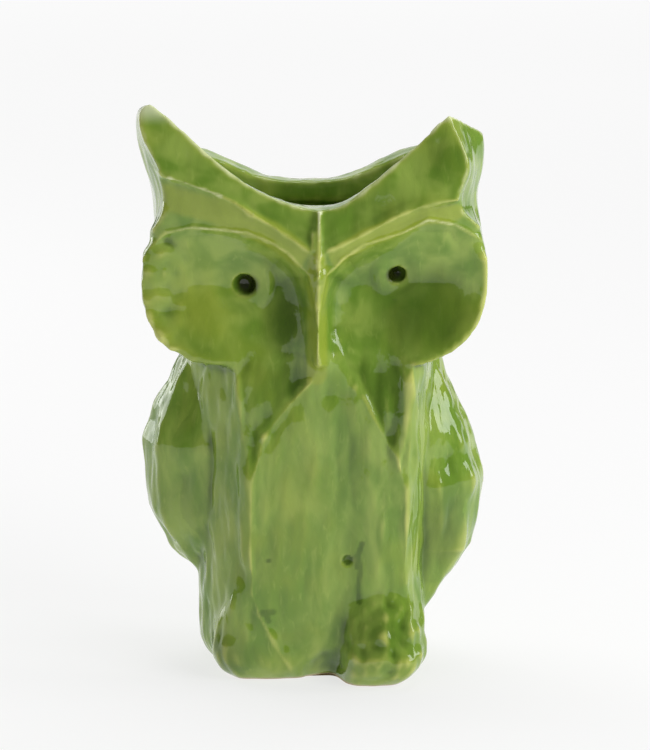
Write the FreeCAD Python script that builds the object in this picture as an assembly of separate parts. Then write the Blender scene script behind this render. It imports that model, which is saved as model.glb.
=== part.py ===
"""Owl vase: a hollow earthenware vessel in the form of a stylised, carved-looking owl.

Frame: +Z up, the owl looks along -Y, +X is on the right of someone facing it.
The origin lies on the standing surface, under the middle of the vessel. Units are millimetres.
Left and right are those of someone facing the owl.

The vessel is modelled as the clay sections that it is built of, each its own solid, luted face
to face: a foot slab, a torso with its breast panel, two feet, two folded wings that are hollow
behind, and a head of two dished face discs, a beak, a forehead, two ear tufts, a back wall and
the lip that stands in at the back of the mouth. Outside and inside are shaped first, as whole
forms, and the wall between them is then divided along the seams.
"""
import FreeCAD, Part

import math
import os

V = FreeCAD.Vector

# Overall sizes
TORSO_HALF = 56.0            # half the torso's width, wings left out
TORSO_FRONT = 50.0           # from the axis to the breast
TORSO_BACK = 52.0            # from the axis to the middle of the back
NECK_LEVEL = 156.0           # where torso and head are luted together
HEAD_HALF = 84.0             # half the head's width
HEAD_HEIGHT = 124.0          # from the neck to the higher ear tip
HEAD_FRONT = 48.0            # from the axis to the front edge of the head's sides
HEAD_BACK = 58.0             # from the axis to the back of the head

# Wall, floor and mouth
WALL = 7.0                   # clay and glaze together
FLOOR_THICKNESS = 9.0        # from the standing surface to the inside floor
FOOT_RING_WIDTH = 9.0        # unglazed ring that the vase stands on
FOOT_RING_HEIGHT = 2.5       # hollow under the floor, inside that ring
LIP_STAND = 5.0              # how far the lip stands in round the mouth
LIP_HEIGHT = 11.0            # from the lip's lower edge to the back rim

# Face
RIDGE_FRONT = 61.0           # from the axis to the planes that the dishes are carved into
BEAK_HALF = 7.0              # half the beak's width at its top
BROW_FRONT = 56.0            # from the axis to where the brows meet
DISC_SWEEP = 13.0            # degrees that each face disc is swept back to its side
FOREHEAD_SWEEP = 2.5         # degrees that each half of the forehead is swept back
FOREHEAD_LEAN = 7.0          # degrees that the forehead leans back
BEVEL_SWEEP = 13.0           # degrees that the bevel under each brow is swept back
BEVEL_LEAN = -15.0           # degrees that this bevel leans, to face down
DISH_DEPTH = 12.0
DISH_TILT = 4.0              # degrees that the right dish rises to its outer end
CHANNEL_STANDOFF = 9.0       # the channels beside the breast: their middle's place before it
CHANNEL_DROP = 16.0          # that middle's place under the neck
CHANNEL_RADIUS = 12.8        # and their radius from front to back
PUPIL_RADIUS = 4.6
PUPIL_DEPTH = 6.0

# Wings and feet
WING_STAND = 28.0            # how far the wings stand out from the torso
FOOT_HALF = 22.0             # half the width of each foot
FOOT_MIDDLE = 31.0           # from the axis out to the middle of each foot
FOOT_HEIGHT = 46.0
LEFT_FOOT_FRONT = 47.0       # from the axis to the left foot's toe
RIGHT_FOOT_FRONT = 55.0      # from the axis to the right foot's toe
OVERRUN = 40.0               # how far a cutter runs past what it cuts

LEFT = -1
RIGHT = 1
SIDES = {LEFT: "left", RIGHT: "right"}

# Plan of the torso, as shares of its reach to each side and to front or back. The breast lies
# between two arrises, and each flank runs from its arris to the middle of the back.
BREAST_SHARES = [(-0.58, -0.985), (-0.13, -1.0), (0.33, -1.0), (0.78, -0.985)]
RIGHT_FLANK_SHARES = [(0.78, -0.985), (0.96, -0.50), (1.0, 0.10), (0.90, 0.66), (0.54, 0.94), (0.0, 1.0)]
LEFT_FLANK_SHARES = [(0.0, 1.0), (-0.54, 0.94), (-0.90, 0.66), (-1.0, 0.10), (-0.94, -0.42), (-0.58, -0.985)]

# Torso, from the standing surface up: level, then reach to left, right, front and back
TORSO_SHARES = [
    (0.0, 0.935, 0.945, 0.80, 0.92), (0.12, 0.975, 0.975, 0.89, 0.955), (0.33, 0.985, 0.965, 0.98, 0.98),
    (0.66, 1.02, 1.0, 1.0, 1.01), (1.0, 1.05, 1.03, 0.98, 1.03),
]

# Plans of the inside, in the torso and in the head
TORSO_HOLLOW_PLAN_SHARES = [
    (0.08, -1.0), (0.60, -0.97), (0.92, -0.60), (1.0, 0.05), (0.92, 0.62), (0.62, 0.93), (0.0, 1.0),
    (-0.62, 0.93), (-0.92, 0.62), (-1.0, 0.05), (-0.86, -0.56), (-0.50, -0.93),
]
HEAD_HOLLOW_PLAN_SHARES = [
    (0.05, -1.0), (0.62, -0.97), (0.93, -0.62), (1.0, 0.03), (0.95, 0.64), (0.66, 0.95), (0.0, 1.0),
    (-0.66, 0.95), (-0.95, 0.64), (-1.0, 0.03), (-0.93, -0.60), (-0.55, -0.96),
]

# Inside of the head above the neck, at the lip's lower edge and in the mouth above it: level,
# then reach to left, right, front and back. The row at the lip has its level from the lip.
HEAD_HOLLOW_SHARES = [(0.17, 0.72, 0.74, 0.62, 0.86), (0.34, 0.79, 0.84, 0.60, 0.87)]
AT_LIP_SHARES = (0.80, 0.85, 0.74, 0.87)
MOUTH_SHARES = [(0.62, 0.91, 0.90, 0.93, 0.86), (1.12, 0.91, 0.90, 0.85, 0.86)]

# The head's outlines at its front, behind the ears' tips and at its middle, in shares of the
# head's half width and height: the rim from the left ear to the right one, then each side from
# its ear down
BACK_RIM_SHARE = 0.60
FRONT_STATION_SHARES = [-1.0, -0.42, 0.20]
RIM_SHARES = [
    [(-0.905, 1.0), (-0.75, 0.91), (-0.585, 0.80), (-0.34, 0.68), (0.0, 0.602), (0.25, 0.668),
     (0.46, 0.785), (0.60, 0.88), (0.71, 0.96)],
    [(-0.955, 0.965), (-0.83, 0.875), (-0.61, 0.75), (-0.33, 0.645), (0.0, 0.602), (0.33, 0.65),
     (0.60, 0.745), (0.80, 0.82), (0.945, 0.87)],
    [(-0.96, 0.86), (-0.84, 0.80), (-0.62, 0.71), (-0.33, 0.63), (0.0, 0.60), (0.33, 0.63),
     (0.62, 0.715), (0.83, 0.78), (0.95, 0.815)],
]
LEFT_SIDE_SHARES = [
    [(-0.905, 1.0), (-0.975, 0.915), (-0.89, 0.765), (-0.835, 0.67), (-0.855, 0.57), (-0.965, 0.475),
     (-1.0, 0.31), (-0.925, 0.14), (-0.68, 0.0)],
    [(-0.955, 0.965), (-1.0, 0.90), (-0.975, 0.79), (-0.925, 0.69), (-0.89, 0.58), (-0.91, 0.46),
     (-0.92, 0.31), (-0.855, 0.14), (-0.65, 0.0)],
    [(-0.96, 0.86), (-0.975, 0.81), (-0.96, 0.74), (-0.93, 0.67), (-0.905, 0.58), (-0.895, 0.46),
     (-0.885, 0.31), (-0.83, 0.14), (-0.64, 0.0)],
]
RIGHT_SIDE_SHARES = [
    [(0.71, 0.96), (0.78, 0.86), (0.84, 0.755), (0.80, 0.66), (0.81, 0.58), (0.93, 0.50),
     (0.965, 0.33), (0.90, 0.13), (0.60, 0.0)],
    [(0.945, 0.87), (0.965, 0.80), (0.955, 0.71), (0.925, 0.62), (0.935, 0.55), (0.955, 0.46),
     (0.95, 0.30), (0.87, 0.13), (0.60, 0.0)],
    [(0.95, 0.815), (0.97, 0.76), (0.97, 0.69), (0.96, 0.61), (0.955, 0.54), (0.95, 0.44),
     (0.93, 0.30), (0.85, 0.13), (0.60, 0.0)],
]

# Behind its middle the head is alike on both sides. One half outline, its rim from the middle
# out and its side down, draws in towards the back by the second share of each station.
BACK_STATION_SHARES = [(0.68, 1.0), (1.0, 0.73)]
BACK_HALF_RIM_SHARES = [(0.0, 0.60), (0.30, 0.62), (0.55, 0.69), (0.73, 0.745), (0.83, 0.77)]
BACK_SIDE_SHARES = [
    (0.83, 0.77), (0.86, 0.72), (0.87, 0.66), (0.87, 0.60), (0.865, 0.53), (0.855, 0.43),
    (0.83, 0.30), (0.76, 0.14), (0.59, 0.0),
]

# Where the brows meet, each brow's lower edge from there out and past the head's side, and the
# lower edge of the bevel under it, at the beak and out there
BROW_SHARE = 0.427
BROW_LINE_SHARES = {
    LEFT: [(0.0, BROW_SHARE), (0.26, 0.55), (0.61, 0.677), (1.2, 0.74)],
    RIGHT: [(0.0, BROW_SHARE), (0.24, 0.50), (0.52, 0.60), (1.2, 0.62)],
}
BEVEL_SHARES = (0.37, 0.52)

# Where each ear is divided off, from above the mouth's rim down to the brow, out and back up
EAR_LINE_SHARES = {
    LEFT: [(0.62, 1.3), (0.62, 0.77), (0.80, 0.66), (1.3, 0.66), (1.3, 1.3)],
    RIGHT: [(0.55, 1.3), (0.55, 0.75), (0.78, 0.61), (1.3, 0.61), (1.3, 1.3)],
}
EAR_BACK_SHARE = 0.10        # how far back each ear reaches, of the head's back
DISC_BACK_SHARE = 0.40       # where the face discs end behind, of the head's front
LIP_END_SHARE = 0.52         # where the lip ends to each side, of the head's half width
LIP_BACK_SHARE = 0.35        # and in front of the back, of the head's back

# Size of a dish, of the head's half width and height. Then its edge, from the middle out and
# from its lower end up: the edges run past the middle, so that the dishes meet in the beak's
# sharp ridge. Its section has the size of the outline and the depth there, and all sizes shrink
# towards the deepest point.
DISH_SHARES = (0.988, 0.54)
DISH_EDGE_SHARES = [
    (-0.03, 0.30), (-0.035, 0.46), (-0.035, 0.62), (0.06, 0.79), (0.22, 0.92), (0.46, 0.985), (0.70, 1.0),
    (0.88, 0.93), (0.965, 0.74), (0.98, 0.48), (0.92, 0.24), (0.76, 0.07), (0.55, -0.02), (0.38, -0.10),
    (0.22, -0.18), (0.06, -0.10), (-0.04, 0.10),
]
DISH_SECTION_SHARES = [(1.12, -0.42), (1.0, 0.0), (0.82, 0.42), (0.62, 0.74), (0.41, 0.93), (0.20, 1.0)]
DISH_DEEPEST_SHARES = (0.23, 0.42)
PUPIL_SHARES = {LEFT: (0.41, 0.31, 1.1), RIGHT: (0.45, 0.34, 0.85)}

# Each channel beside the breast: half width, place and half height, of the torso's half width,
# and the degrees that it spreads downwards
CHANNEL_SHARES = {LEFT: (0.41, 0.45, 0.84), RIGHT: (0.25, 0.57, 0.66)}
CHANNEL_SPREADS = {LEFT: 16.0, RIGHT: 7.0}

# Upper edge of the breast panel, from its left arris over the arch to the right one, as shares
# of the torso's half width and of the neck's level
BREAST_ARCH_SHARES = [
    (-0.58, 0.62), (-0.44, 0.78), (-0.23, 0.88), (0.10, 0.985), (0.34, 0.95), (0.56, 0.79), (0.78, 0.62),
]

# Each wing from its tip up: level, then reach, middle and half depth of the section there, as
# shares of the neck's level, the wing's whole reach and, for the last two, the torso's front
WING_SHARES = {
    LEFT: [(0.27, 0.64, 0.05, 0.26), (0.37, 0.83, 0.08, 0.48), (0.50, 0.96, 0.10, 0.62),
           (0.71, 0.985, 0.10, 0.68), (0.83, 0.91, 0.10, 0.62), (1.0, 0.74, 0.08, 0.46)],
    RIGHT: [(0.17, 0.63, -0.40, 0.14), (0.28, 0.81, -0.16, 0.36), (0.38, 0.875, -0.02, 0.50),
            (0.59, 1.0, 0.06, 0.68), (0.71, 0.955, 0.08, 0.66), (0.84, 0.855, 0.08, 0.60),
            (1.0, 0.72, 0.08, 0.44)],
}
WING_ROOT_SHARE = 0.45       # where a wing starts inside the torso, of the torso's half width
WING_PLAN_SHARES = [
    (0.0, -0.80), (0.50, -1.0), (0.88, -0.62), (1.0, 0.0), (0.86, 0.62), (0.48, 1.0), (0.0, 0.80),
]

# Each foot from the standing surface up: level, half width, reach to the front and middle
FOOT_SHARES = {
    LEFT: [(0.0, 1.16, 0.97, 0.82), (0.22, 1.14, 1.0, 0.84), (0.60, 0.80, 1.0, 0.98), (1.0, 0.30, 0.97, 1.10)],
    RIGHT: [(0.0, 0.97, 0.97, 1.02), (0.22, 1.0, 1.0, 1.02), (0.60, 0.98, 0.95, 1.01), (1.0, 0.86, 0.87, 0.98)],
}
FOOT_ROOT_SHARE = 0.40       # where a foot starts inside the torso, of its reach
FOOT_PLAN_SHARES = [
    (-0.80, 0.0), (-1.0, 0.50), (-0.72, 0.93), (0.0, 1.0), (0.72, 0.93), (1.0, 0.50), (0.80, 0.0),
]


def smooth_edge(points, start=None, end=None):
    """One smooth edge through the points, with its direction at either end if that is given."""
    last = len(points) - 1
    curve = Part.BSplineCurve()
    even = [index / last for index in range(last + 1)]
    if start is None and end is None:
        curve.interpolate(Points=points, Parameters=even)
        return curve.toShape()
    unused = V(1, 0, 0)
    tangents = [start or unused] + [unused] * (last - 1) + [end or unused]
    flags = [start is not None] + [False] * (last - 1) + [end is not None]
    curve.interpolate(Points=points, Parameters=even, Tangents=tangents, TangentFlags=flags)
    return curve.toShape()


def smooth_loop(points):
    """A closed wire of one smooth edge through the points."""
    count = len(points)
    curve = Part.BSplineCurve()
    curve.interpolate(
        Points=points, PeriodicFlag=True, Parameters=[index / count for index in range(count + 1)])
    return Part.Wire([curve.toShape()])


def faceted_loop(points):
    """A closed wire of straight edges through the points."""
    return Part.makePolygon(points + points[:1])


def ruled_form(wires):
    """A solid through the wires, straight from each to the next, as if built of slabs of clay."""
    return Part.makeLoft(wires, True, True)


def place_plan(table, level, reaches):
    """Points of a plan at a level, from shares of its reach to left, right, front and back."""
    left, right, front, back = reaches
    return [
        V(across * (right if across > 0 else left), along * (back if along > 0 else front), level)
        for across, along in table]


def torso_plan(level, reaches):
    """The torso's plan at a level: the breast between two arrises, and the flanks behind them."""
    to_left = V(-1, 0, 0)
    return Part.Wire([
        smooth_edge(place_plan(BREAST_SHARES, level, reaches)),
        smooth_edge(place_plan(RIGHT_FLANK_SHARES, level, reaches), end=to_left),
        smooth_edge(place_plan(LEFT_FLANK_SHARES, level, reaches), start=to_left)])


def torso_reaches(row):
    """A row's reaches in millimetres."""
    left, right, front, back = row
    return left * TORSO_HALF, right * TORSO_HALF, front * TORSO_FRONT, back * TORSO_BACK


def torso_form():
    """The torso's outside."""
    return ruled_form([
        torso_plan(row[0] * NECK_LEVEL, torso_reaches(row[1:])) for row in TORSO_SHARES])


def torso_hollow_plans():
    """Plans of the torso's straight inside, set in by the wall where the torso is narrow."""
    reaches = [reach - WALL for reach in torso_reaches(TORSO_SHARES[1][1:])]
    return [
        smooth_loop(place_plan(TORSO_HOLLOW_PLAN_SHARES, level, reaches))
        for level in (FLOOR_THICKNESS, NECK_LEVEL)]


def head_hollow_plan(level, row, set_in=0):
    """A plan of the head's inside at a level, from shares of its reaches, set in all round."""
    left, right, front, back = row
    reaches = left * HEAD_HALF, right * HEAD_HALF, front * HEAD_FRONT, back * HEAD_BACK
    plan = place_plan(HEAD_HOLLOW_PLAN_SHARES, level, [reach - set_in for reach in reaches])
    return smooth_loop(plan)


def lip_level():
    """Level of the lip's lower edge, under the middle of the back rim."""
    return NECK_LEVEL + BACK_RIM_SHARE * HEAD_HEIGHT - LIP_HEIGHT


def hollow_forms():
    """The inside of the torso, of the head up to the lip and of the mouth above it."""
    torso_plans = torso_hollow_plans()
    head_plans = torso_plans[-1:]
    mouth_plans = [head_hollow_plan(lip_level(), AT_LIP_SHARES, LIP_STAND)]
    for level_share, *row in HEAD_HOLLOW_SHARES:
        head_plans.append(head_hollow_plan(NECK_LEVEL + level_share * HEAD_HEIGHT, row))
    head_plans.append(head_hollow_plan(lip_level(), AT_LIP_SHARES))
    for level_share, *row in MOUTH_SHARES:
        mouth_plans.append(head_hollow_plan(NECK_LEVEL + level_share * HEAD_HEIGHT, row, LIP_STAND))
    return [ruled_form(plans) for plans in (torso_plans, head_plans, mouth_plans)]


def head_outline(y, rim, left_side, right_side):
    """One outline of the head: its rim, right side, underside and left side."""
    def place(table):
        return [V(across * HEAD_HALF, y, NECK_LEVEL + up * HEAD_HEIGHT) for across, up in table]

    left, right = place(left_side), place(right_side)
    return Part.Wire([
        smooth_edge(place(rim)),
        smooth_edge(right),
        Part.LineSegment(right[-1], left[-1]).toShape(),
        smooth_edge(left[::-1])])


def drawn_in(table, width_share):
    """An outline drawn in to a share of its width, and its rim lowered towards the back's."""
    return [
        (across * width_share, BACK_RIM_SHARE + (up - BACK_RIM_SHARE) * width_share)
        if up > BACK_RIM_SHARE else (across * width_share, up)
        for across, up in table]


def mirrored(table):
    """An outline on the other side."""
    return [(-across, up) for across, up in table]


def head_form():
    """The head's outside, with a block in front for the face to be cut from."""
    wires = []
    for place_share, rim, left, right in zip(
            FRONT_STATION_SHARES, RIM_SHARES, LEFT_SIDE_SHARES, RIGHT_SIDE_SHARES):
        wires.append(head_outline(place_share * HEAD_FRONT, rim, left, right))
    for place_share, width_share in BACK_STATION_SHARES:
        half_rim = drawn_in(BACK_HALF_RIM_SHARES, width_share)
        side = drawn_in(BACK_SIDE_SHARES, width_share)
        rim = mirrored(half_rim)[:0:-1] + half_rim
        wires.append(head_outline(place_share * HEAD_BACK, rim, mirrored(side), side))
    block = Part.Face(wires[0]).extrude(V(0, HEAD_FRONT - RIDGE_FRONT - WALL, 0))
    return ruled_form(wires).fuse(block)


def half_box(side, back=0):
    """The space on one side of the middle, from in front of the face to a place behind it."""
    width = HEAD_HALF + OVERRUN
    front = RIDGE_FRONT + OVERRUN
    height = NECK_LEVEL + HEAD_HEIGHT + OVERRUN
    corner = V(0 if side == RIGHT else -width, -front, 0)
    return Part.makeBox(width, front + back, height, corner)


def in_front_of(side, front, level, sweep, lean):
    """The space on one side, in front of a plane that is swept back and leans back by degrees."""
    size = 2 * (NECK_LEVEL + HEAD_HEIGHT)
    normal = V(side * math.tan(math.radians(sweep)), -1, math.tan(math.radians(lean)))
    block = Part.makeBox(size, size, size, V(-size / 2, -size / 2, 0))
    block.Placement = FreeCAD.Placement(V(0, -front, level), FreeCAD.Rotation(V(0, 0, 1), normal))
    return block.common(half_box(side, HEAD_BACK))


def front_prism(points, back=0, curve_from=0, curve_to=0):
    """A prism seen from the front, from before the face to a place behind the axis.

    The points from one place to another may be joined by a smooth edge, the others by lines.
    """
    y = -(RIDGE_FRONT + OVERRUN)
    corners = [V(x, y, z) for x, z in points]
    if curve_to > curve_from:
        edges = [smooth_edge(corners[curve_from:curve_to + 1])]
        rest = corners[curve_to:] + corners[:curve_from + 1]
        edges += Part.makePolygon(rest).Edges
        wire = Part.Wire(edges)
    else:
        wire = Part.makePolygon(corners + corners[:1])
    return Part.Face(wire).extrude(V(0, back - y, 0))


def head_points(side, table):
    """Points seen from the front on one side of the head, from shares."""
    return [(side * across * HEAD_HALF, NECK_LEVEL + up * HEAD_HEIGHT) for across, up in table]


def brow_level():
    """Level at which the brows meet."""
    return NECK_LEVEL + BROW_SHARE * HEAD_HEIGHT


def above_brow(side):
    """The space above the brow's lower edge, on one side."""
    line = head_points(side, BROW_LINE_SHARES[side])
    top = NECK_LEVEL + HEAD_HEIGHT + OVERRUN
    return front_prism(line + [(line[-1][0], top), (0, top)], 0, 0, len(line) - 1)


def under_brow(side):
    """The space that the bevel under a brow is cut from, down to where the bevel ends."""
    out = side * (HEAD_HALF + OVERRUN)
    top = NECK_LEVEL + HEAD_HEIGHT + OVERRUN
    start, end = [NECK_LEVEL + share * HEAD_HEIGHT for share in BEVEL_SHARES]
    return front_prism([(0, start), (out, end), (out, top), (0, top)])


def disc_point(side, out, level, depth=0):
    """A point so far out from the beak's ridge and so deep behind the plane of a face disc."""
    sweep = math.radians(DISC_SWEEP)
    return V(
        side * (out * math.cos(sweep) + depth * math.sin(sweep)),
        -RIDGE_FRONT + out * math.sin(sweep) + depth * math.cos(sweep),
        level)


def dish(side):
    """The scoop of one face disc, steep beside the beak and shallow at its outer edge."""
    width_share, height_share = DISH_SHARES
    width, height = width_share * HEAD_HALF, height_share * HEAD_HEIGHT
    deepest_out, deepest_up = DISH_DEEPEST_SHARES
    tilt = math.radians(DISH_TILT) if side == RIGHT else 0

    def place(out_share, up_share, size_share, depth_share):
        out = (deepest_out + (out_share - deepest_out) * size_share) * width
        up = (deepest_up + (up_share - deepest_up) * size_share) * height
        rise = (out - width / 2) * math.tan(tilt)
        return disc_point(side, out, NECK_LEVEL + up + rise, depth_share * DISH_DEPTH)

    sections = [
        smooth_loop([place(out, up, size, depth) for out, up in DISH_EDGE_SHARES])
        for size, depth in DISH_SECTION_SHARES]
    return Part.makeLoft(sections, True)


def egg(radii, middle, tilt=0):
    """An ellipsoid with radii along X, Y and Z, tilted about Y by degrees."""
    stretch = FreeCAD.Matrix()
    stretch.scale(*radii)
    shape = Part.makeSphere(1).transformGeometry(stretch)
    shape.rotate(V(0, 0, 0), V(0, 1, 0), tilt)
    shape.translate(middle)
    return shape


def channel(side):
    """The scoop that runs from a dish down beside the breast panel."""
    half_share, out_share, height_share = CHANNEL_SHARES[side]
    radii = half_share * TORSO_HALF, CHANNEL_RADIUS, height_share * TORSO_HALF
    middle = V(
        side * out_share * TORSO_HALF, -(TORSO_FRONT + CHANNEL_STANDOFF), NECK_LEVEL - CHANNEL_DROP)
    return egg(radii, middle, -side * CHANNEL_SPREADS[side])


def pupil(side):
    """The blind hole poked for one pupil, round at its bottom."""
    out_share, up_share, size_share = PUPIL_SHARES[side]
    out = out_share * HEAD_HALF
    level = NECK_LEVEL + up_share * HEAD_HEIGHT
    radius = PUPIL_RADIUS * size_share
    floor = disc_point(side, out, level, DISH_DEPTH + PUPIL_DEPTH - radius)
    mouth = disc_point(side, out, level, -OVERRUN)
    shaft = Part.makeCylinder(radius, (mouth - floor).Length, floor, mouth - floor)
    return shaft.fuse(Part.makeSphere(radius, floor))


def cut_away(shape, cutters):
    """The shape with each cutter taken from it in turn."""
    for cutter in cutters:
        shape = shape.cut(cutter)
    return shape


def face_cutters(side):
    """What is carved away on one side of the face, from the forehead down."""
    over = above_brow(side)
    forehead = in_front_of(side, BROW_FRONT, brow_level(), FOREHEAD_SWEEP, FOREHEAD_LEAN)
    bevel = in_front_of(side, BROW_FRONT, brow_level(), BEVEL_SWEEP, BEVEL_LEAN)
    disc = in_front_of(side, RIDGE_FRONT, NECK_LEVEL, DISC_SWEEP, 0)
    return [
        forehead.common(over),
        bevel.common(under_brow(side)).cut(over),
        disc.cut(over),
        dish(side),
        channel(side),
        pupil(side)]


def wing_sections(side, set_in=0):
    """Faceted sections of a wing from its tip up, rooted inside the torso, set in from outside."""
    root = WING_ROOT_SHARE * TORSO_HALF
    wires = []
    for level_share, reach_share, middle_share, depth_share in WING_SHARES[side]:
        reach = reach_share * (TORSO_HALF + WING_STAND) - root - set_in
        middle = middle_share * TORSO_FRONT
        depth = depth_share * TORSO_FRONT - set_in
        wires.append(faceted_loop([
            V(side * (root + out * reach), middle + along * depth, level_share * NECK_LEVEL)
            for out, along in WING_PLAN_SHARES]))
    return wires


def wing_form(side):
    """One folded wing."""
    return ruled_form(wing_sections(side))


def wing_hollow(side):
    """The hollow behind a wing, which opens into the torso and ends before tip and neck."""
    return ruled_form(wing_sections(side, WALL)[1:-1])


def foot_form(side):
    """One foot, rooted inside the torso."""
    reach = LEFT_FOOT_FRONT if side == LEFT else RIGHT_FOOT_FRONT
    root = FOOT_ROOT_SHARE * reach
    wires = []
    for level_share, half_share, reach_share, middle_share in FOOT_SHARES[side]:
        middle = side * middle_share * FOOT_MIDDLE
        wires.append(faceted_loop([
            V(middle + across * half_share * FOOT_HALF,
              -root - along * (reach_share * reach - root), level_share * FOOT_HEIGHT)
            for across, along in FOOT_PLAN_SHARES]))
    return ruled_form(wires)


def beak_region():
    """Where the beak is divided from the face discs: a wedge that narrows to its tip."""
    top = brow_level()
    return front_prism(
        [(-BEAK_HALF, top), (BEAK_HALF, top), (BEAK_HALF / 2, 0), (-BEAK_HALF / 2, 0)])


def breast_region():
    """Where the breast panel is divided from the torso."""
    arch = [(across * TORSO_HALF, up * NECK_LEVEL) for across, up in BREAST_ARCH_SHARES]
    return front_prism(arch + [(arch[-1][0], 0), (arch[0][0], 0)], 0, 0, len(arch) - 1)


def lip_region():
    """Where the lip is divided from the back wall: straight up from the wall's inside."""
    plan = head_hollow_plan(lip_level(), AT_LIP_SHARES)
    column = Part.Face(plan).extrude(V(0, 0, HEAD_HEIGHT))
    half = LIP_END_SHARE * HEAD_HALF
    front = LIP_BACK_SHARE * HEAD_BACK
    return column.common(Part.makeBox(2 * half, HEAD_BACK, 2 * NECK_LEVEL, V(-half, front, 0)))


def floor_region():
    """Everything under the inside floor."""
    half = HEAD_HALF + OVERRUN
    return Part.makeBox(2 * half, 2 * half, FLOOR_THICKNESS, V(-half, -half, 0))


def foot_recess():
    """The hollow inside the unglazed ring under the floor."""
    plan = torso_plan(0, [reach - FOOT_RING_WIDTH for reach in torso_reaches(TORSO_SHARES[0][1:])])
    return Part.Face(plan).extrude(V(0, 0, FOOT_RING_HEIGHT))


def divide(wall, region):
    """The piece of a wall inside a region, and what is left of the wall."""
    return wall.common(region), wall.cut(region)


def torso_sections():
    """The clay sections below the neck."""
    sections = {}
    torso = torso_form()
    hollow = hollow_forms()[0]
    channels = [channel(side) for side in SIDES]
    wing_hollows = [wing_hollow(side) for side in SIDES]
    wall = cut_away(torso, [hollow] + channels + wing_hollows)
    floor, wall = divide(wall, floor_region())
    sections["base_slab"] = floor.cut(foot_recess())
    sections["breast_panel"], sections["torso_wall"] = divide(wall, breast_region())
    for side, name in SIDES.items():
        wing = wing_form(side)
        sections[name + "_wing"] = cut_away(wing, [torso, wing_hollow(side)])
        sections[name + "_foot"] = cut_away(foot_form(side), [torso, wing])
    return sections


def head_sections():
    """The clay sections above the neck."""
    sections = {}
    cutters = face_cutters(LEFT) + face_cutters(RIGHT) + hollow_forms()[1:]
    wall = cut_away(head_form(), cutters)
    for side, name in SIDES.items():
        region = front_prism(head_points(side, EAR_LINE_SHARES[side]), EAR_BACK_SHARE * HEAD_BACK)
        sections[name + "_ear"], wall = divide(wall, region)
    sections["forehead"], wall = divide(wall, above_brow(LEFT).fuse(above_brow(RIGHT)))
    sections["beak"], wall = divide(wall, beak_region())
    for side, name in SIDES.items():
        region = half_box(side, -DISC_BACK_SHARE * HEAD_FRONT)
        sections[name + "_face_disc"], wall = divide(wall, region)
    sections["back_lip"], sections["head_wall"] = divide(wall, lip_region())
    return sections


def main():
    os.makedirs("parts", exist_ok=True)
    sections = {**torso_sections(), **head_sections()}
    for name, shape in sections.items():
        print(name, len(shape.Solids), shape.isValid(), round(shape.Volume))
        shape.exportStep("parts/" + name + ".step")


main()
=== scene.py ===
"""The owl vase's glazed surface, its floor, studio light and camera.

The clay sections of the CAD model are welded into one skin, softened as thick glaze softens
them, worked over with the maker's tool marks, and cut into pieces again along the same seams.
Lengths are in metres, in the frame of the CAD model: +Z up, the owl looks along -Y.
"""
import math

import bpy
import numpy as np
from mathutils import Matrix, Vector, noise
from mathutils.bvhtree import BVHTree

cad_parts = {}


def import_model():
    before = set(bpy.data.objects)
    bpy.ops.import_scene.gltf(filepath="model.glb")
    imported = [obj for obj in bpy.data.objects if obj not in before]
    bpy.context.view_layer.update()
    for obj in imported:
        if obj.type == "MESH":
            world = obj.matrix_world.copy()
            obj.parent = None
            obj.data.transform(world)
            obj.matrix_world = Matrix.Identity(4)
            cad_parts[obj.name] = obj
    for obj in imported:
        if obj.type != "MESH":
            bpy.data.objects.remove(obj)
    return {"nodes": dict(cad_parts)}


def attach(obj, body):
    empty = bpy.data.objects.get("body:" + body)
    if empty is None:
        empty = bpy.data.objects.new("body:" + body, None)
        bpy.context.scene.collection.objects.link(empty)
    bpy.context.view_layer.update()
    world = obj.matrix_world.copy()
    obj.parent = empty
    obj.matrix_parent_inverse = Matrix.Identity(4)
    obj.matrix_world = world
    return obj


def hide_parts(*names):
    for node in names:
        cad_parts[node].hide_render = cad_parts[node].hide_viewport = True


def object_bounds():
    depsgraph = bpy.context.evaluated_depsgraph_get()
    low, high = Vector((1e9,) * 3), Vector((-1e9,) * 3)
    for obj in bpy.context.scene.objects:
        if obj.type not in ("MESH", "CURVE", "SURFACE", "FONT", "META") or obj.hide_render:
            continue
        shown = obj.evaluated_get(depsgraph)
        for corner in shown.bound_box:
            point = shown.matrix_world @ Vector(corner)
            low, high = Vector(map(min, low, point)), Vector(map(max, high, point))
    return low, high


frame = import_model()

MM = 0.001
cad_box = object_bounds()

# Skin
VOXEL = 1.0 * MM
WEIGHT = 0.5                         # how far a vertex moves to its neighbours' middle in a round
FACE_ROUNDS = 4                      # rounds of softening, for the face and for all the rest
BODY_ROUNDS = 14
FACE_BACK = -22 * MM                 # the face lies in front of this place and over this level
FACE_LEVEL = 150 * MM
FACE_BLEND = 14 * MM
FRONT = -20 * MM                     # marks seen from the front lie in front of this place
FACING = (0.10, 0.45)                # shares of facing the front, from no mark to the whole mark
FOOT_BLEND = (0.5 * MM, 6 * MM)      # marks fade in between these levels

# Places smoothed over: middle across, middle level, half width, half height, in mm
BLEND_ROUNDS = 110
BLENDS = [
    (-20, 152, 19, 13), (24, 153, 17, 12), (0, 204, 24, 7),
    (-80, 213, 9, 6), (80, 213, 9, 6), (-61, 158, 10, 6), (-42, 40, 15, 18),
]
TIP_BLENDS = [(16, 160, 14, 12), (-11, 154, 9, 6), (-46, 158, 10, 5), (27, 136, 9, 14)]

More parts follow.
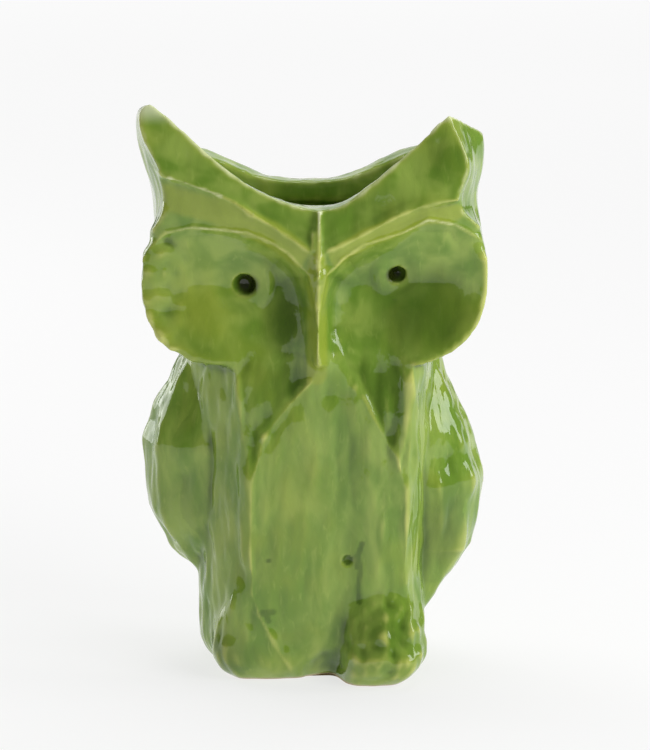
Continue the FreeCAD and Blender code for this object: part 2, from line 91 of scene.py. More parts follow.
# Crests and grooves seen from the front: height, half width and points, in mm
CRESTS = [
    (1.8, 7.0, [(0, 154), (0, 176), (0, 204)]),
    (2.6, 4.0, [(0, 200), (0.3, 216), (0.8, 234)]),
    (1.6, 5.0, [(-68, 244), (-52, 240), (-39, 235), (-31, 229), (-21, 224), (-11, 217), (0, 208)]),
    (1.5, 5.0, [(0, 208), (5, 212), (17, 217), (27, 222), (39, 228), (48, 231), (63, 233)]),
    (1.3, 4.0, [(-78, 212), (-70, 219), (-58, 222), (-42, 221), (-32, 220), (-20, 215), (-12, 208),
                (-6, 198), (-3, 186)]),
    (1.3, 4.0, [(78, 214), (65, 222), (52, 225), (40, 219), (21, 214), (11, 207), (6, 198), (3, 186)]),
    (1.3, 6.0, [(-13, 8), (-17, 15), (-22, 24), (-28, 36), (-31, 46), (-32, 70), (-31, 100),
                (-29, 107), (-25, 122)]),
    (0.7, 4.0, [(-25, 122), (-13, 138), (-3, 149)]),
    (0.9, 4.0, [(22, 141), (25, 135), (31, 123), (38, 111), (42, 96), (43, 50)]),
    (-1.7, 14.0, [(11, 140), (13, 110), (15, 60), (13, 34)]),
    (-4.0, 15.0, [(7, -8), (8, 5)]),
    (1.6, 2.4, [(-2.2, 220), (-2.2, 213)]),
]
DRIPS = [
    (2.0, [(21.5, 70), (19.5, 64), (20.8, 57), (19.8, 49), (20.2, 41)]),
    (1.8, [(18.5, 63), (19.2, 58)]),
    (2.6, [(-26, 36), (-21, 36.5)]),
    (2.2, [(-24, 35), (-23, 32)]),
    (1.5, [(-23.5, 62), (-22.5, 62)]),
]
OLIVE_BANDS = [
    (9.0, [(-68, 236), (-50, 231), (-35, 226), (-22, 220), (-10, 211)]),
    (6.0, [(64, 228), (50, 227), (36, 222), (22, 217), (9, 209)]),
    (7.0, [(0, 152), (0, 206)]),
]
BREAST_LEAN = 1.0                    # the breast leans back so far between these levels, in mm
LEAN_LEVELS = (88, 152)
BREAST_SIDES = (-40, -30, 38, 47)
BREAST_TOP = (154, 160)
WING_SWELL = 5 * MM                  # how far the right wing's lower part swells, and its levels
SWELL_LEVELS = (44 * MM, 60 * MM, 106 * MM)

# Each dish runs down into the channel below it: its outline from the front, in mm, then how
# far back its deepest level lies and how its surface comes forward above and below that level
LEFT_DISH = [(-72, 205), (-68, 178), (-57, 163), (-42, 157), (-38, 148), (-36, 122), (-33, 106),
             (-28, 108), (-23, 124), (-13, 138), (-3, 149), (-1, 160), (-1, 185), (-4, 200),
             (-14, 211), (-30, 217), (-45, 219), (-62, 217)]
RIGHT_DISH = [(72, 205), (68, 178), (58, 163), (46, 157), (44, 148), (43, 122), (40, 104), (34, 110),
              (29, 124), (24, 137), (18, 149), (10, 156), (1, 160), (1, 185), (4, 200), (14, 209),
              (30, 214), (45, 219), (62, 219)]
DISH_EDGE = 17.0
CHANNEL_EDGE = 6.0
CHANNEL_LEVELS = (148, 166)
DISH_BACK = -38.0
DISH_LEVEL = 193
DISH_RISE = (21, 7.0)                # this far up, the surface has come forward so far
CHANNEL_SLOPE = 0.13
LIP_SLOPE = 0.22
LIP_SIDE = (34, 50)
POKE_CLEAR = (1.4, 3.2)              # round a pupil, in its radii, the dish moves as one

# The left ear's front edge: level and place across, in mm, and how its side widens to the back
EAR_LEVELS = (214, 224, 233, 249, 260, 272)
EAR_EDGES = (-84, -77, -74.5, -72, -77, -84)
EAR_FRONT = -52
EAR_SLOPE = 0.27

# Painted shade, where the dishes, wings, feet and the right ear lie darker under the lamps: middle across,
# level, half width and half height in mm, and darkness
PAINTED_SHADE = [(-16, 176, 16, 26, 0.90), (50, 180, 42, 34, 0.95), (32, 172, 22, 20, 0.45),
         (28, 26, 24, 28, 0.55), (-44, 12, 24, 26, 0.80), (6, 8, 14, 26, 0.45),
         (24, 234, 50, 26, 0.50), (58, 256, 28, 34, 0.60), (16, 112, 9, 50, 0.40),
         (-73, 129, 26, 28, 0.60), (-60, 76, 16, 28, 0.35), (64, 72, 24, 44, 0.65)]
# Painted light, lightening the left dish and the breast towards olive, in the same way
PAINTED_LIGHT = [(-58, 184, 40, 46, 0.80), (-40, 166, 34, 16, 0.40), (-12, 92, 34, 90, 0.50)]
# a painted highlight lightens the thin edges between these levels, except near the brows
HIGHLIGHT_LEVELS = (205, 228)
BROWS = [(-39, 235), (-21, 224), (0, 208), (17, 217), (39, 228), (63, 233)]
BROW_REACH = (3 * MM, 6 * MM)        # so near to the brows, the edges get no painted highlight
EAR_HIGHLIGHT_LEVELS = (262, 280)              # a painted highlight lightens the left ear's tip between these levels
TIP_HIGHLIGHT = 0.65
DRIP_DARKNESS = 0.65
# painted shade in the channels under the dishes
CHANNEL_SHADE = 0.42

# Maker's marks: height, then the length of the waves across and along Z
LUMPS = (0.9 * MM, 17 * MM, 24 * MM)
STROKES = (0.75 * MM, 8 * MM, 28 * MM)
SCORES = (0.45 * MM, 4 * MM, 13 * MM)
DABS = (0.40 * MM, 9 * MM, 12 * MM)
KNOBS = (2.3 * MM, 8 * MM, 8 * MM)
PRINTS = (1.5 * MM, 6 * MM, 6 * MM)
DENTS = (1.5 * MM, 13 * MM, 16 * MM)
DISH_CALM = 0.35                     # share of the strokes that is left in the dishes
HEAD_CALM = 0.45                     # and on the head, over these levels
CALM_LEVELS = (160 * MM, 185 * MM)
FLANK_STROKES = 0.8                  # how much stronger the strokes are on the flanks
FLANK_SIDE = (26 * MM, 34 * MM)
WING_SIDE = (50 * MM, 60 * MM)
WING_TOP = (150 * MM, 160 * MM)
FOOT_ROUND = 16 * MM                 # below this level the feet draw in, at the floor by a share
FOOT_PINCH = 0.17
TOE_STEP = 8 * MM                    # how far the right toe steps forward, and where
TOE_MIDDLE = 33 * MM
TOE_WIDTH = (9 * MM, 25 * MM)
TOE_LEVELS = (2 * MM, 48 * MM)
TOE_BACK = (-36 * MM, -10 * MM)

# Places seen from the front: middle across, middle level, half width and half height
LEFT_RIM = (-75 * MM, 192 * MM, 15 * MM, 27 * MM)
RIGHT_TOE = (33 * MM, 22 * MM, 19 * MM, 20 * MM)
DISHES = [(-40 * MM, 190 * MM, 36 * MM, 34 * MM), (40 * MM, 190 * MM, 36 * MM, 34 * MM)]
PUPILS = [(-34.4 * MM, 194.4 * MM, 5.2 * MM), (37.8 * MM, 198.2 * MM, 4.0 * MM)]
PUPIL_SHIFTS = [(2.6 * MM, -1.3 * MM), (-1.0 * MM, -0.8 * MM)]
DIMPLE = (14.6 * MM, 61.6 * MM, 3.2 * MM)
DIMPLE_DEPTH = 1.6 * MM
DIMPLE_DARKNESS = 0.95


def gathered(nodes):
    """Vertices and polygons of all nodes, and the number of the node that each polygon is on."""
    vertices, polygons, owners = [], [], []
    for number, node in enumerate(nodes):
        start = len(vertices)
        vertices.extend(vertex.co.copy() for vertex in node.data.vertices)
        polygons.extend([start + index for index in face.vertices] for face in node.data.polygons)
        owners.extend([number] * len(node.data.polygons))
    return vertices, polygons, np.array(owners)


def welded(vertices, polygons):
    """One closed mesh of even squares around all the polygons."""
    mesh = bpy.data.meshes.new("clay")
    mesh.from_pydata(vertices, [], polygons)
    lump = bpy.data.objects.new("clay", mesh)
    bpy.context.scene.collection.objects.link(lump)
    voxels = lump.modifiers.new("voxels", "REMESH")
    voxels.mode = "VOXEL"
    voxels.voxel_size = VOXEL
    graph = bpy.context.evaluated_depsgraph_get()
    skin = bpy.data.meshes.new_from_object(lump.evaluated_get(graph))
    bpy.data.objects.remove(lump)
    return skin


def read(items, name, width, kind):
    """An attribute of all items as one array."""
    values = np.empty(len(items) * width, dtype=np.float32 if kind is float else np.int32)
    items.foreach_get(name, values)
    return values.reshape(-1, width).astype(kind)


class Skin:
    """The vase's surface as arrays: places of its vertices, its edges and its squares."""

    def __init__(self, mesh):
        self.place = read(mesh.vertices, "co", 3, float)
        self.edges = read(mesh.edges, "vertices", 2, int)
        self.squares = read(mesh.polygons, "vertices", 4, int)
        ends = np.concatenate([self.edges[:, 0], self.edges[:, 1]])
        self.neighbours = np.bincount(ends, minlength=len(self.place))

    def averaged(self, values, rounds, weight):
        """Values at the vertices, each mixed with its neighbours' so many times."""
        first, second = self.edges.T
        count = len(values)
        for _ in range(rounds):
            near = np.stack([
                np.bincount(first, column[second], count) + np.bincount(second, column[first], count)
                for column in values.T], axis=1)
            values = values + weight * (near / self.neighbours[:, None] - values)
        return values

    def blended(self, share, rounds):
        """Places of the vertices after the ones with a share have been smoothed over."""
        chosen = np.flatnonzero(share > 0)
        number = np.full(len(self.place), -1)
        number[chosen] = np.arange(len(chosen))
        first, second = number[self.edges.T]
        within = (first >= 0) & (second >= 0)
        first, second = first[within], second[within]
        count = len(chosen)
        ends = np.maximum(np.bincount(first, minlength=count) + np.bincount(second, minlength=count), 1)
        values = self.place[chosen]
        weight = WEIGHT * share[chosen][:, None]
        for _ in range(rounds):
            near = np.stack([
                np.bincount(first, column[second], count) + np.bincount(second, column[first], count)
                for column in values.T], axis=1)
            values = values + weight * (near / ends[:, None] - values)
        place = self.place.copy()
        place[chosen] = values
        return place

    def normals(self):
        """Outward directions at the vertices."""
        corners = self.place[self.squares]
        facing = np.cross(corners[:, 2] - corners[:, 0], corners[:, 3] - corners[:, 1])
        ends = self.squares.ravel()
        each = np.repeat(facing, self.squares.shape[1], axis=0)
        total = np.stack([np.bincount(ends, column, len(self.place)) for column in each.T], axis=1)
        return total / np.linalg.norm(total, axis=1)[:, None]

    def fronts(self):
        """1 where the outside faces the front, 0 where it doesn't."""
        return step(-self.normals()[:, 1], *FACING) * (self.place[:, 1] < FRONT)

    def standing_out(self, rounds):
        """How far each vertex stands out of its surroundings, in metres."""
        return ((self.place - self.averaged(self.place, rounds, WEIGHT)) * self.normals()).sum(axis=1)


def waves(place, lengths, seed):
    """Smooth noise from -1 to 1 at each place, stretched along Z."""
    across, along = lengths
    scaled = place / (across, across, along) + seed
    return np.array([noise.noise(Vector(point)) for point in scaled])


def step(values, start, end):
    """From 0 at the start to 1 at the end, with no kink."""
    share = np.clip((values - start) / (end - start), 0, 1)
    return share * share * (3 - 2 * share)


def inside(place, oval):
    """1 within an oval seen from the front and 0 well outside it, on the front only."""
    middle, level, half_width, half_height = oval
    away = np.hypot((place[:, 0] - middle) / half_width, (place[:, 2] - level) / half_height)
    return (1 - step(away, 0.8, 1.25)) * (1 - step(place[:, 1], -22 * MM, -10 * MM))


def beside(place, line):
    """How far each place is from a line of points in mm, seen from the front."""
    flat = place[:, [0, 2]]
    nearest = np.full(len(place), np.inf)
    for start, end in zip(line[:-1], line[1:]):
        start = np.array(start) * MM
        run = np.array(end) * MM - start
        share = np.clip((flat - start) @ run / (run @ run), 0, 1)
        nearest = np.minimum(nearest, np.linalg.norm(flat - start - share[:, None] * run, axis=1))
    return nearest


def softened(skin):
    """The skin's places after the glaze has rounded its edges, least on the face."""
    place = skin.averaged(skin.place, FACE_ROUNDS, WEIGHT)
    face = 1 - step(place[:, 1], FACE_BACK - FACE_BLEND, FACE_BACK)
    face *= step(place[:, 2], FACE_LEVEL - FACE_BLEND, FACE_LEVEL)
    return skin.averaged(place, BODY_ROUNDS, WEIGHT * (1 - face)[:, None])


def smoothed_over(skin, ovals):
    """The skin's places after the seams that the maker has wiped away are blended."""
    share = np.zeros(len(skin.place))
    for oval in ovals:
        share = np.maximum(share, inside(skin.place, [length * MM for length in oval]))
    outside = skin.normals()[:, 1] < 0.3
    return skin.blended(share * outside, BLEND_ROUNDS)


def enclosed(place, outline):
    """Whether each place lies within an outline in mm, seen from the front."""
    across, level = place[:, 0] / MM, place[:, 2] / MM
    within = np.zeros(len(place), dtype=bool)
    for (first_x, first_z), (next_x, next_z) in zip(outline, outline[1:] + outline[:1]):
        crosses = (first_z > level) != (next_z > level)
        if first_z != next_z:
            border = first_x + (level - first_z) * (next_x - first_x) / (next_z - first_z)
            within ^= crosses & (across < border)
    return within


def leaned(skin):
    """The skin's places with the breast's upper part leaned back."""
    across, level = skin.place[:, 0] / MM, skin.place[:, 2] / MM
    back = BREAST_LEAN * np.clip((level - LEAN_LEVELS[0]) / (LEAN_LEVELS[1] - LEAN_LEVELS[0]), 0, 1)
    back *= step(across, *BREAST_SIDES[:2]) * (1 - step(across, *BREAST_SIDES[2:]))
    back *= 1 - step(level, *BREAST_TOP)
    moved = skin.place.copy()
    moved[:, 1] += back * MM * skin.fronts()
    return moved


def dished(skin):
    """The skin's places with each dish deepened and run down into its channel."""
    place = skin.place
    across, level = np.abs(place[:, 0]) / MM, place[:, 2] / MM
    up = level - DISH_LEVEL
    slope = CHANNEL_SLOPE + (LIP_SLOPE - CHANNEL_SLOPE) * step(across, *LIP_SIDE)
    forward = np.where(up > 0, DISH_RISE[1] * (up / DISH_RISE[0]) ** 2, -up * slope)
    back = (DISH_BACK - forward) * MM - place[:, 1]
    share = np.zeros(len(place))
    for outline in (LEFT_DISH, RIGHT_DISH):
        width = CHANNEL_EDGE + (DISH_EDGE - CHANNEL_EDGE) * step(level, *CHANNEL_LEVELS)
        edge = np.clip(beside(place, outline + outline[:1]) / MM / width, 0, 1)
        share = np.maximum(share, enclosed(place, outline) * edge * (2 - edge))
    front = skin.fronts()
    moved = place.copy()
    for (middle, height, radius), (right, up) in zip(PUPILS, PUPIL_SHIFTS):
        away = np.hypot(place[:, 0] - middle, place[:, 2] - height) / radius
        ring = (away > POKE_CLEAR[0]) & (away < POKE_CLEAR[1]) & (front > 0)
        near = (1 - step(away, *POKE_CLEAR)) * (place[:, 1] < FRONT)
        back += near * (back[ring].mean() - back)
        front = np.maximum(front, near > 0)
        moved[:, 0] += near * right
        moved[:, 2] += near * up
    moved[:, 1] += back * share * front
    return moved


def pared(skin):
    """The skin's places with the left ear's outer side cut to face outwards."""
    moved = skin.place.copy()
    edge = np.interp(moved[:, 2] / MM, EAR_LEVELS, EAR_EDGES) * MM
    side = edge - EAR_SLOPE * (moved[:, 1] - EAR_FRONT * MM)
    moved[:, 0] = np.maximum(moved[:, 0], side)
    return moved


def carved(skin):
    """The skin's places with the crests and grooves of the front drawn."""
    raised = np.zeros(len(skin.place))
    for height, half_width, line in CRESTS:
        near = np.clip(1 - beside(skin.place, line) / (half_width * MM), 0, 1)
        raised += height * MM * (near ** 2 if height > 0 else step(near, 0, 1))
    moved = skin.place.copy()
    moved[:, 1] -= raised * skin.fronts()
    return moved


def worked(skin):
    """The skin's places after the maker's marks have been pressed into its outside."""
    place = skin.place
    dishes = np.maximum(*[inside(place, oval) for oval in DISHES])
    strokes = 1 - (1 - DISH_CALM) * dishes
    strokes *= 1 - (1 - HEAD_CALM) * step(place[:, 2], *CALM_LEVELS)
    across = np.abs(place[:, 0])
    flanks = step(across, *FLANK_SIDE) * (1 - step(across, *WING_SIDE)) * (1 - step(place[:, 2], *WING_TOP))
    strokes *= 1 + FLANK_STROKES * flanks
    wings = step(across, *WING_SIDE) * (1 - step(place[:, 2], *WING_TOP))
    raised = LUMPS[0] * waves(place, LUMPS[1:], 3.0) * strokes
    raised += STROKES[0] * waves(place, STROKES[1:], 11.0) * strokes
    raised += SCORES[0] * waves(place, SCORES[1:], 19.0) * strokes
    raised += DABS[0] * waves(place, DABS[1:], 29.0) * (1 + strokes) / 2
    raised += DENTS[0] * waves(place, DENTS[1:], 37.0) * wings
    swell = np.interp(place[:, 2], SWELL_LEVELS, (0, 1, 0)) * step(place[:, 0], *WING_SIDE)
    raised += WING_SWELL * swell * (place[:, 1] < 0)
    raised += KNOBS[0] * waves(place, KNOBS[1:], 41.0) * inside(place, LEFT_RIM)
    raised += PRINTS[0] * waves(place, PRINTS[1:], 53.0) * inside(place, RIGHT_TOE)
    across, level, radius = DIMPLE
    away = np.hypot(place[:, 0] - across, place[:, 2] - level)
    raised -= DIMPLE_DEPTH * skin.fronts() * (1 - step(away, 0.2 * radius, radius))
    raised *= step(place[:, 2], *FOOT_BLEND)
    moved = place + skin.normals() * raised[:, None]
    low = np.clip(1 - place[:, 2] / FOOT_ROUND, 0, 1) ** 2
    moved[:, :2] *= 1 - FOOT_PINCH * low[:, None]
    toe = 1 - step(np.abs(place[:, 0] - TOE_MIDDLE), *TOE_WIDTH)
    toe *= (1 - step(place[:, 2], *TOE_LEVELS)) * (1 - step(place[:, 1], *TOE_BACK))
    moved[:, 1] -= TOE_STEP * toe
    return np.clip(moved, *[np.array(corner) for corner in cad_box])


class Net:
    """A material's nodes, added one by one."""

    def __init__(self, name):
        self.material = bpy.data.materials.new(name)
        self.material.use_nodes = True
        self.tree = self.material.node_tree
        self.shader = self.tree.nodes["Principled BSDF"]

    def add(self, kind, inputs, **settings):
        """A node with its inputs linked or set, by name or number."""
        node = self.tree.nodes.new(kind)
        for name, value in settings.items():
            setattr(node, name, value)
        for name, value in inputs.items():
            if isinstance(value, bpy.types.NodeSocket):
                self.tree.links.new(value, node.inputs[name])
            else:
                node.inputs[name].default_value = value
        return node

    def noise(self, lengths, seed, detail=2.0):
        """Noise of 0 to 1, with waves of these lengths along X, Y and Z."""
        where = self.add("ShaderNodeTexCoord", {}).outputs["Object"]
        placed = self.add("ShaderNodeMapping", {
            "Vector": where, "Location": (seed, seed, seed), "Scale": [1 / length for length in lengths]})
        grain = self.add("ShaderNodeTexNoise", {
            "Vector": placed.outputs["Vector"], "Scale": 1.0, "Detail": detail, "Roughness": 0.5,
            "Distortion": 0.5})
        return grain.outputs["Fac"]

    def attribute(self, name):
        return self.add("ShaderNodeAttribute", {}, attribute_name=name).outputs["Fac"]

    def level(self):
        """Height over the floor, in metres."""
        where = self.add("ShaderNodeTexCoord", {}).outputs["Object"]
        return self.add("ShaderNodeSeparateXYZ", {"Vector": where}).outputs["Z"]

    def distance(self):
        """Distance from the object's origin, in metres."""
        where = self.add("ShaderNodeTexCoord", {}).outputs["Object"]
        return self.add("ShaderNodeVectorMath", {0: where}, operation="LENGTH").outputs["Value"]

    def ramp(self, value, start, end, low=0.0, high=1.0):
        """The value brought from start to end to low to high, and held there."""
        return self.add("ShaderNodeMapRange", {
            "Value": value, "From Min": start, "From Max": end, "To Min": low, "To Max": high},
            interpolation_type="SMOOTHSTEP").outputs["Result"]

    def mix(self, share, first, second):
        """A colour between two, by a share of 0 to 1."""
        mixed = self.add("ShaderNodeMix", {0: share, 6: first, 7: second}, data_type="RGBA")
        return mixed.outputs[2]


# Colours of the glaze, from where it is thick to where it breaks over an edge; the darkest is also painted
# shade and the palest a painted highlight
# dark green of pooled glaze, also used as painted shade
POOLED_AND_SHADE = (0.050, 0.105, 0.006, 1)
GREEN = (0.150, 0.272, 0.028, 1)
LIGHT_GREEN = (0.37, 0.48, 0.095, 1)
OLIVE = (0.315, 0.385, 0.040, 1)
YELLOW = (0.62, 0.65, 0.180, 1)
# near white of a painted highlight on the upper rims and the left ear's tip
PALE_HIGHLIGHT = (0.78, 0.84, 0.56, 1)
PUPIL_GREEN = (0.022, 0.032, 0.004, 1)
CLAY =(0.50, 0.40, 0.26, 1)


def glaze():
    net = Net("green glaze")
    streaks = net.noise((14 * MM, 14 * MM, 34 * MM), 1.7, 3.0)
    clouds = net.noise((26 * MM, 26 * MM, 34 * MM), 8.3)
    flecks = net.noise((3 * MM, 3 * MM, 9 * MM), 4.1)
    blotches = net.noise((15 * MM, 15 * MM, 15 * MM), 6.6)
    head = net.ramp(net.level(), 145 * MM, 168 * MM)
    streaks = net.add("ShaderNodeMix", {0: head, 2: streaks, 3: blotches}).outputs[0]
    colour = net.mix(net.ramp(streaks, 0.34, 0.70, 0.0, 0.60), GREEN, LIGHT_GREEN)
    colour = net.mix(net.ramp(clouds, 0.46, 0.76, 0.0, 0.40), colour, OLIVE)
    colour = net.mix(net.ramp(flecks, 0.56, 0.80, 0.0, 0.35), colour, LIGHT_GREEN)
    # darkened where glaze pools in hollows, drips and the dimple, and with painted shade in the channels
    # and shaded places
    colour = net.mix(net.ramp(net.attribute("deep_and_shade"), 0.05, 1.0, 0.0, 0.85), colour, POOLED_AND_SHADE)
    # olive over broad rims and bands, and painted light on the left dish and the breast
    colour = net.mix(net.ramp(net.attribute("rim_and_light"), 0.05, 1.0, 0.0, 0.7), colour, OLIVE)
    colour = net.mix(net.ramp(net.attribute("thin"), 0.08, 0.8, 0.0, 0.75), colour, YELLOW)
    # painted highlight along the upper rims and on the left ear's tip
    colour = net.mix(net.ramp(net.attribute("pale"), 0.20, 0.8, 0.0, 0.85), colour, PALE_HIGHLIGHT)
    colour = net.mix(net.attribute("pupil"), colour, PUPIL_GREEN)
    colour = net.mix(net.attribute("bare"), colour, CLAY)
    net.tree.links.new(colour, net.shader.inputs["Base Color"])
    ripples = net.noise((7 * MM, 7 * MM, 16 * MM), 15.0, 3.0)
    bump = net.add("ShaderNodeBump", {"Height": ripples, "Distance": 0.4 * MM, "Strength": 1.0})
    net.tree.links.new(bump.outputs["Normal"], net.shader.inputs["Normal"])
    rough = net.ramp(net.attribute("bare"), 0.0, 1.0, 0.06, 0.85)
    net.tree.links.new(rough, net.shader.inputs["Roughness"])
    net.shader.inputs["IOR"].default_value = 1.52
    return net.material


def patched(place, ovals):
    """The strongest of some ovals' shares at each place, each fading from its middle out."""
    share = np.zeros(len(place))
    for *oval, strength in ovals:
        across, level, half_width, half_height = [length * MM for length in oval]
        away = np.hypot((place[:, 0] - across) / half_width, (place[:, 2] - level) / half_height)
        share = np.maximum(share, strength * (1 - step(away, 0, 1)))
    return share


def tints(skin):
    """Shares of 0 to 1 at the vertices, for how thick the glaze is, where it is missing, and where painted
    shade, light and highlights go.
    """
    fine = skin.standing_out(5)
    broad = skin.standing_out(70)
    pupil = np.zeros(len(fine))
    front = skin.fronts()
    ahead = skin.place[:, 1] < FRONT
    for (across, level, radius), (right, up) in zip(PUPILS, PUPIL_SHIFTS):
        away = np.hypot(skin.place[:, 0] - across - right, skin.place[:, 2] - level - up)
        pupil = np.maximum(pupil, ahead * (1 - step(away, 0.6 * radius, 1.2 * radius)))
    across, level, radius = DIMPLE
    away = np.hypot(skin.place[:, 0] - across, skin.place[:, 2] - level)
    pooled_and_shade = DIMPLE_DARKNESS * ahead * (1 - step(away, 0.4 * radius, radius))
    for half_width, line in DRIPS:
        near = 1 - step(beside(skin.place, line) / (half_width * MM), 0.4, 1)
        pooled_and_shade = np.maximum(pooled_and_shade, DRIP_DARKNESS * front * near)
    # painted shade in the channels under the dishes
    for outline in (LEFT_DISH, RIGHT_DISH):
        edge = step(beside(skin.place, outline + outline[:1]), 0, 4 * MM)
        below = 1 - step(skin.place[:, 2] / MM, *CHANNEL_LEVELS)
        channel = enclosed(skin.place, outline) * edge * below
        pooled_and_shade = np.maximum(pooled_and_shade, CHANNEL_SHADE * front * channel)
    olive_and_light = np.zeros(len(fine))
    for half_width, line in OLIVE_BANDS:
        near = 1 - step(beside(skin.place, line) / (half_width * MM), 0.4, 1)
        olive_and_light = np.maximum(olive_and_light, front * near)
    # painted shade in places that lie darker under the lamps
    pooled_and_shade = np.maximum(pooled_and_shade, front * patched(skin.place, PAINTED_SHADE))
    # painted light on the left dish and the breast
    olive_and_light = np.maximum(olive_and_light, front * patched(skin.place, PAINTED_LIGHT))
    thin = skin.averaged(np.clip(fine / (0.42 * MM), 0, 1)[:, None], 2, WEIGHT)[:, 0]
    hollow = np.clip(-broad / (2.6 * MM), 0, 1) + 0.5 * np.clip(-fine / (0.4 * MM), 0, 1)
    level = skin.place[:, 2] / MM
    # painted highlight along the upper rims, away from the brows
    pale = thin * step(level, *HIGHLIGHT_LEVELS) * (np.abs(skin.place[:, 0]) < 70 * MM)
    pale *= step(beside(skin.place, BROWS), *BROW_REACH)
    # painted highlight on the left ear's tip
    ear_highlight = TIP_HIGHLIGHT * step(level, *EAR_HIGHLIGHT_LEVELS) * (skin.place[:, 0] < 0)
    return {
        "thin": thin,
        "pale": np.maximum(pale, ear_highlight),
        "rim_and_light": np.clip(broad / (2.6 * MM) + olive_and_light, 0, 1),
        "deep_and_shade": np.clip(hollow + pooled_and_shade, 0, 1),
        "pupil": pupil,
        "bare": 1 - step(skin.place[:, 2], 0.6 * MM, 2.0 * MM)}


def pieces(skin, nodes, material):
    """The skin cut along the CAD's seams, each piece for the node that it stands for."""
    vertices, polygons, owners = gathered(nodes)
    tree = BVHTree.FromPolygons(vertices, polygons)
    middles = skin.place[skin.squares].mean(axis=1)
    owner = owners[[tree.find_nearest(Vector(point))[2] for point in middles]]
    normals = skin.normals()
    shares = tints(skin)
    for number, node in enumerate(nodes):
        kept, squares = np.unique(skin.squares[owner == number], return_inverse=True)
        mesh = bpy.data.meshes.new(node.name + "_glazed")
        mesh.from_pydata(skin.place[kept].tolist(), [], squares.reshape(-1, 4).tolist())
        mesh.polygons.foreach_set("use_smooth", [True] * len(mesh.polygons))
        mesh.normals_split_custom_set_from_vertices(normals[kept].tolist())
        for name, values in shares.items():
            mesh.attributes.new(name, "FLOAT", "POINT").data.foreach_set("value", values[kept])
        mesh.materials.append(material)
        piece = bpy.data.objects.new(node.name + "_glazed", mesh)
        bpy.context.scene.collection.objects.link(piece)
        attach(piece, "root")
        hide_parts(node.name)


# Floor and world, where 1.0 is white
FLOOR_RADIUS = 7.0
FLOOR_SIDES = 96
FLOOR_GLOW = (0.72, 0.84)            # near the vase and far from it, at these distances
FLOOR_REACH = (0.2, 2.6)
FLOOR_COLOUR = (0.24, 0.24, 0.24, 1)
BACKDROP = 0.94
CEILING = 0.12


def floor():
    turns = np.linspace(0, 2 * math.pi, FLOOR_SIDES, endpoint=False)
    corners = [(FLOOR_RADIUS * math.cos(turn), FLOOR_RADIUS * math.sin(turn), 0) for turn in turns]
    mesh = bpy.data.meshes.new("floor")
    mesh.from_pydata(corners, [], [list(range(FLOOR_SIDES))])
    net = Net("pale floor")
    net.shader.inputs["Base Color"].default_value = FLOOR_COLOUR
    net.shader.inputs["Roughness"].default_value = 1.0
    net.shader.inputs["Specular IOR Level"].default_value = 0.0
    net.shader.inputs["Emission Color"].default_value = (1, 1, 1, 1)
    glow = net.ramp(net.distance(), *FLOOR_REACH, *FLOOR_GLOW)
    net.tree.links.new(glow, net.shader.inputs["Emission Strength"])
    mesh.materials.append(net.material)
    piece = bpy.data.objects.new("floor", mesh)
    bpy.context.scene.collection.objects.link(piece)


def world():
    """Pale where the camera looks past the floor, dim for what the glaze reflects."""
    sky = bpy.data.worlds.new("studio")
    sky.use_nodes = True
    tree = sky.node_tree
    path = tree.nodes.new("ShaderNodeLightPath")
    strength = tree.nodes.new("ShaderNodeMapRange")
    strength.inputs["To Min"].default_value = CEILING
    strength.inputs["To Max"].default_value = BACKDROP
    tree.links.new(path.outputs["Is Camera Ray"], strength.inputs["Value"])
    tree.links.new(strength.outputs["Result"], tree.nodes["Background"].inputs["Strength"])
    tree.nodes["Background"].inputs["Color"].default_value = (1, 1, 1, 1)
    bpy.context.scene.world = sky


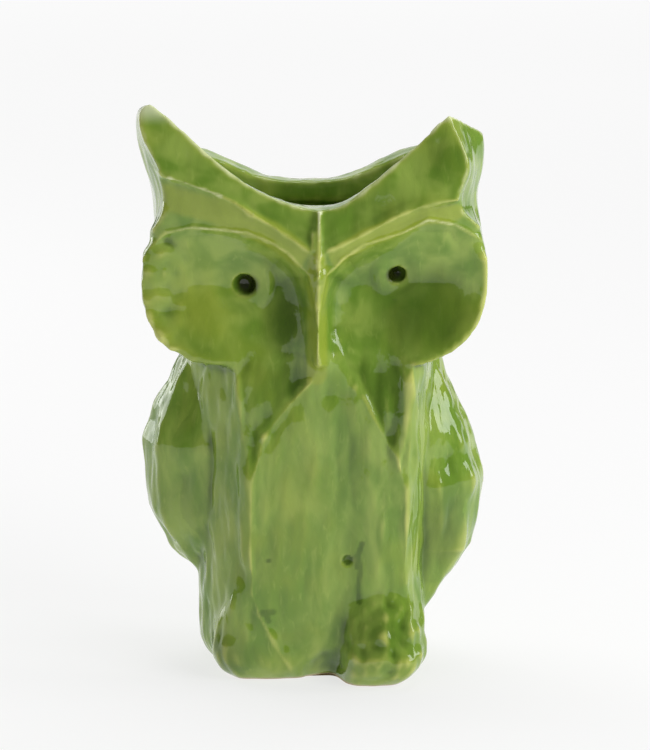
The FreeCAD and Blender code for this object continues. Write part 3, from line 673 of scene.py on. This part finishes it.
# Lamps: place, what they point at, width, height, radiance and whether the glaze mirrors them
VASE_MIDDLE = (0, 0, 0.15)
LAMPS = {
    "left softbox": ((-1.3, 1.0, 0.6), VASE_MIDDLE, 1.0, 1.1, 3.2, True),
    "right softbox": ((1.5, -0.1, 0.8), VASE_MIDDLE, 0.6, 1.0, 5.0, True),
    "front fill": ((1.2, -1.2, 1.0), VASE_MIDDLE, 1.0, 1.0, 5.6, False),
    "top softbox": ((0.1, 0.5, 1.9), VASE_MIDDLE, 1.4, 0.9, 4.0, True),
    "back wall": ((0, 4.6, 1.7), VASE_MIDDLE, 9.0, 2.6, 0.9, True),
}


def lamp(name, place, target, width, height, radiance, mirrored):
    """A rectangular lamp that the camera doesn't see, mirrored in the glaze or not."""
    data = bpy.data.lights.new(name, "AREA")
    data.shape = "RECTANGLE"
    data.size = width
    data.size_y = height
    data.energy = radiance * math.pi * width * height
    box = bpy.data.objects.new(name, data)
    box.location = place
    box.rotation_euler = (Vector(target) - Vector(place)).to_track_quat("-Z", "Y").to_euler()
    box.visible_camera = False
    box.visible_glossy = mirrored
    bpy.context.scene.collection.objects.link(box)


# Camera
CAMERA_TARGET = (0, 0, 0.140)
CAMERA_TURN = -3.0
CAMERA_RISE = 11.5
CAMERA_DISTANCE = 1.6
CAMERA_LENS = 158.6
CAMERA_SHIFT = (0.018, 0.0053)


def camera():
    """The photograph's camera."""
    turn, rise = math.radians(CAMERA_TURN), math.radians(CAMERA_RISE)
    back = Vector((math.sin(turn) * math.cos(rise), -math.cos(turn) * math.cos(rise), math.sin(rise)))
    data = bpy.data.cameras.new("camera")
    data.lens = CAMERA_LENS
    data.shift_x, data.shift_y = CAMERA_SHIFT
    eye = bpy.data.objects.new("camera", data)
    eye.location = Vector(CAMERA_TARGET) + back * CAMERA_DISTANCE
    eye.rotation_euler = (-back).to_track_quat("-Z", "Y").to_euler()
    bpy.context.scene.collection.objects.link(eye)
    bpy.context.scene.camera = eye


nodes = list(frame["nodes"].values())
skin = Skin(welded(*gathered(nodes)[:2]))
skin.place = softened(skin)
skin.place = smoothed_over(skin, BLENDS)
skin.place = pared(skin)
skin.place = leaned(skin)
skin.place = dished(skin)
skin.place = smoothed_over(skin, TIP_BLENDS)
skin.place = carved(skin)
skin.place = worked(skin)
pieces(skin, nodes, glaze())
floor()
world()
for name, settings in LAMPS.items():
    lamp(name, *settings)
camera()
bpy.context.scene.view_settings.view_transform = "Standard"
